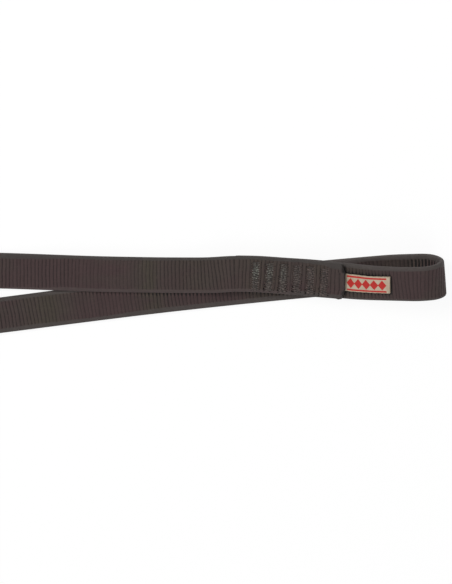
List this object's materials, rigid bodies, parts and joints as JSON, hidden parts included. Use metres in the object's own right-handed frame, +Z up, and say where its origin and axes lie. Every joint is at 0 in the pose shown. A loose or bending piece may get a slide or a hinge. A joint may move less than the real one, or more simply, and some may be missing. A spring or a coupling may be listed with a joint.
{
  "type": "climbing sling",
  "caption": "Sewn loop of flat tubular webbing, its overlapped ends bar tacked, with a short eye beyond the seam and a folded cloth label that lifts.",
  "frame": {"origin": "on the table under the middle of the laid out sling", "axes": "+X along the sling towards the sewn eye, +Y across it towards the upper leg, +Z up from the table"},
  "size_m": [0.5914, 0.0521, 0.0205],
  "materials": {
    "webbing": "ribbed tubular polyamide webbing, matt dark brown grey",
    "tack_thread": "bonded sewing thread, slight sheen, grey green",
    "label_cloth": "fine woven beige cloth"
  },
  "bodies": {
    "sling": {"webbing_strap": "webbing", "bar_tack_1_needle": "tack_thread", "bar_tack_1_bobbin": "tack_thread", "bar_tack_2_needle": "tack_thread", "bar_tack_2_bobbin": "tack_thread", "bar_tack_3_needle": "tack_thread", "bar_tack_3_bobbin": "tack_thread", "bar_tack_4_needle": "tack_thread", "bar_tack_4_bobbin": "tack_thread", "bar_tack_5_needle": "tack_thread", "bar_tack_5_bobbin": "tack_thread", "bar_tack_6_needle": "tack_thread", "bar_tack_6_bobbin": "tack_thread", "label_tail": "label_cloth"},
    "label": {"label_flap": "label_cloth"}
  },
  "joints": [
    {"name": "label_lift", "type": "hinge", "parent": "sling", "child": "label", "pos_m": [0.24995, 0.01407, 0.00984], "axis": [0.0215, -0.9998, 0.0013], "range_deg": [0, 90]}
  ]
}
